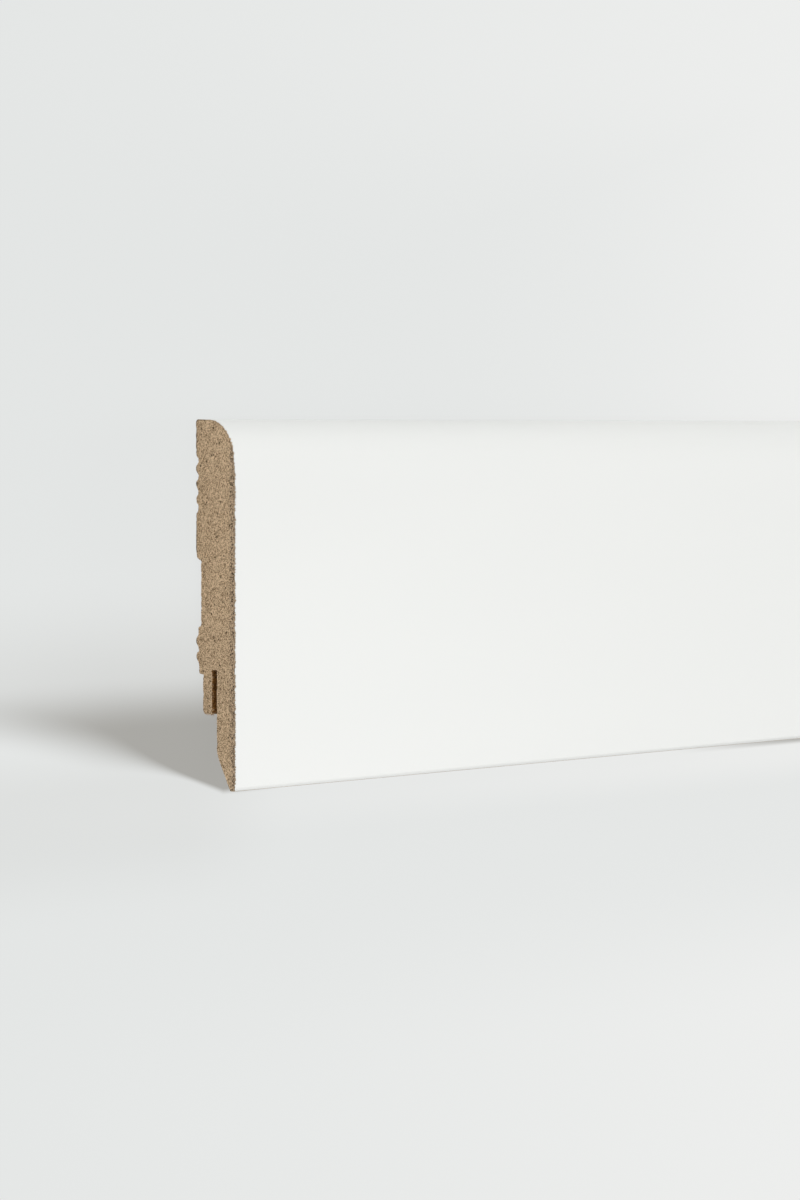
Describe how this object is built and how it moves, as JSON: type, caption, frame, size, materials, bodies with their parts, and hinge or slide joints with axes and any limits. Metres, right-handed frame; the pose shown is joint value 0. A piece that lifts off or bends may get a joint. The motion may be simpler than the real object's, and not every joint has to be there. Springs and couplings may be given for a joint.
{
  "type": "skirting board length",
  "caption": "Straight length of slim skirting board: white face with a rounded top edge, grooved back, and a slotted tongue and tapered lip that hide a mounting rail.",
  "frame": {"origin": "midway along the board and midway up its height, on the plane of its back that lies against the wall", "axes": "+X along the board, from the sawn end that the picture shows to the far end; +Y up the board, towards its rounded top edge; +Z out of the white face"},
  "size_m": [2.4, 0.077, 0.014],
  "materials": {
    "fibreboard": "bare medium-density fibreboard, sawn and moulded, fine speckle",
    "white_face": "smooth satin white coating under 0.3 mm thick, on the face, the round, the top edge and the toe"
  },
  "bodies": {
    "root": {"skirting_board": "fibreboard"}
  },
  "joints": []
}
